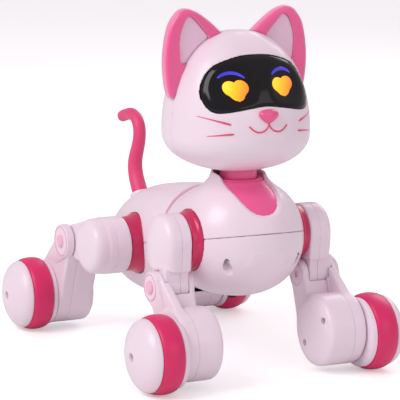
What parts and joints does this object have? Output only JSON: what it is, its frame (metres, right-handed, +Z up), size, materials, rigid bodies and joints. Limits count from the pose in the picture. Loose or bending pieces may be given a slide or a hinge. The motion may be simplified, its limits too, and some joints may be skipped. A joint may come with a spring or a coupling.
{
  "type": "robot cat toy",
  "caption": "Electronic robot cat on wheeled legs, with a swivelling head, dark face visor with lit heart eyes, curled tail and domed pink wheels.",
  "frame": {"origin": "on the ground plane, midway between the left and right wheels and midway between the front and rear axles", "axes": "+Z up, the face looks along -Y, +X is the cat's left side"},
  "size_m": [0.2012, 0.266, 0.2473],
  "materials": {
    "pale_plastic": "satin moulded",
    "tyre_rubber": "moulded rubber",
    "hub_plastic": "gloss moulded",
    "rose_plastic": "satin moulded",
    "pink_plastic": "gloss moulded",
    "tail_rubber": "soft moulded",
    "nose_gloss": "gloss",
    "trim_pink": "satin",
    "visor_black": "polished",
    "eye_glow": "lit lens",
    "cap_pink": "satin",
    "motor_metal": "brushed",
    "board_green": "solder mask",
    "battery_wrap": "shrink wrap",
    "screw_steel": "zinc plated",
    "black_plastic": "moulded"
  },
  "bodies": {
    "torso": {"body_upper_shell": "pale_plastic", "body_lower_shell": "pale_plastic", "waist_ring": "pink_plastic", "chest_bib": "pink_plastic", "neck_bearing": "pink_plastic", "hip_collars": "rose_plastic", "gear_motors": "motor_metal", "main_board": "board_green", "battery_pack": "battery_wrap", "battery_door": "pale_plastic", "speaker": "black_plastic", "torso_screws": "screw_steel", "tail_socket": "pale_plastic"},
    "switch_knob": {"power_switch": "black_plastic"},
    "head": {"neck_tube": "pink_plastic", "head_front_shell": "pale_plastic", "head_rear_shell": "pale_plastic", "ear_frames": "pink_plastic", "face_visor": "visor_black", "eye_lights": "eye_glow", "eye_led_board": "board_green", "nose": "nose_gloss", "face_trim": "trim_pink"},
    "tail": {"tail": "tail_rubber"},
    "fl_thigh": {"fl_thigh_outer_shell": "pale_plastic", "fl_thigh_inner_shell": "pale_plastic"},
    "fl_shin": {"fl_shin_outer_shell": "pale_plastic", "fl_shin_inner_shell": "pale_plastic", "fl_knee_pin": "cap_pink", "fl_wheel_motor": "motor_metal"},
    "fl_wheel": {"fl_wheel_hub": "hub_plastic", "fl_tyre": "tyre_rubber", "fl_hub_dome": "hub_plastic"},
    "fr_thigh": {"fr_thigh_outer_shell": "pale_plastic", "fr_thigh_inner_shell": "pale_plastic"},
    "fr_shin": {"fr_shin_outer_shell": "pale_plastic", "fr_shin_inner_shell": "pale_plastic", "fr_knee_pin": "cap_pink", "fr_wheel_motor": "motor_metal"},
    "fr_wheel": {"fr_wheel_hub": "hub_plastic", "fr_tyre": "tyre_rubber", "fr_hub_dome": "hub_plastic"},
    "rl_thigh": {"rl_thigh_outer_shell": "pale_plastic", "rl_thigh_inner_shell": "pale_plastic"},
    "rl_shin": {"rl_shin_outer_shell": "pale_plastic", "rl_shin_inner_shell": "pale_plastic", "rl_knee_pin": "cap_pink", "rl_wheel_motor": "motor_metal"},
    "rl_wheel": {"rl_wheel_hub": "hub_plastic", "rl_tyre": "tyre_rubber", "rl_hub_dome": "hub_plastic"},
    "rr_thigh": {"rr_thigh_outer_shell": "pale_plastic", "rr_thigh_inner_shell": "pale_plastic"},
    "rr_shin": {"rr_shin_outer_shell": "pale_plastic", "rr_shin_inner_shell": "pale_plastic", "rr_knee_pin": "cap_pink", "rr_wheel_motor": "motor_metal"},
    "rr_wheel": {"rr_wheel_hub": "hub_plastic", "rr_tyre": "tyre_rubber", "rr_hub_dome": "hub_plastic"}
  },
  "joints": [
    {"name": "neck_pan", "type": "hinge", "parent": "torso", "child": "head", "pos_m": [0, -0.0635, 0.13], "axis": [0, 0, 1], "range_deg": [-40, 40]},
    {"name": "tail_swivel", "type": "hinge", "parent": "torso", "child": "tail", "pos_m": [0, 0.0895, 0.098], "axis": [0, 0.5299, 0.848], "range_deg": [-60, 60]},
    {"name": "power_slide", "type": "slide", "parent": "torso", "child": "switch_knob", "axis": [0, 0.9813, -0.1925], "range_m": [0, 0.004]},
    {"name": "fl_hip", "type": "hinge", "parent": "torso", "child": "fl_thigh", "pos_m": [0.0475, -0.0665, 0.0925], "axis": [1, 0, 0], "range_deg": [-30, 25]},
    {"name": "fl_knee", "type": "hinge", "parent": "fl_thigh", "child": "fl_shin", "pos_m": [0.05462, -0.0715, 0.0635], "axis": [1, 0, 0], "range_deg": [-20, 45]},
    {"name": "fl_wheel_spin", "type": "hinge", "parent": "fl_shin", "child": "fl_wheel", "pos_m": [0.08075, -0.1065, 0.0265], "axis": [1, 0, 0], "continuous": true},
    {"name": "fr_hip", "type": "hinge", "parent": "torso", "child": "fr_thigh", "pos_m": [-0.0475, -0.0665, 0.0925], "axis": [1, 0, 0], "range_deg": [-30, 25]},
    {"name": "fr_knee", "type": "hinge", "parent": "fr_thigh", "child": "fr_shin", "pos_m": [-0.05462, -0.0715, 0.0635], "axis": [1, 0, 0], "range_deg": [-20, 45]},
    {"name": "fr_wheel_spin", "type": "hinge", "parent": "fr_shin", "child": "fr_wheel", "pos_m": [-0.08075, -0.1065, 0.0265], "axis": [1, 0, 0], "continuous": true},
    {"name": "rl_hip", "type": "hinge", "parent": "torso", "child": "rl_thigh", "pos_m": [0.0475, 0.0225, 0.075], "axis": [1, 0, 0], "range_deg": [-25, 25]},
    {"name": "rl_knee", "type": "hinge", "parent": "rl_thigh", "child": "rl_shin", "pos_m": [0.05462, 0.077, 0.0695], "axis": [1, 0, 0], "range_deg": [-10, 45]},
    {"name": "rl_wheel_spin", "type": "hinge", "parent": "rl_shin", "child": "rl_wheel", "pos_m": [0.08075, 0.1065, 0.0265], "axis": [1, 0, 0], "continuous": true},
    {"name": "rr_hip", "type": "hinge", "parent": "torso", "child": "rr_thigh", "pos_m": [-0.0475, 0.0225, 0.075], "axis": [1, 0, 0], "range_deg": [-25, 25]},
    {"name": "rr_knee", "type": "hinge", "parent": "rr_thigh", "child": "rr_shin", "pos_m": [-0.05462, 0.077, 0.0695], "axis": [1, 0, 0], "range_deg": [-10, 45]},
    {"name": "rr_wheel_spin", "type": "hinge", "parent": "rr_shin", "child": "rr_wheel", "pos_m": [-0.08075, 0.1065, 0.0265], "axis": [1, 0, 0], "continuous": true}
  ]
}
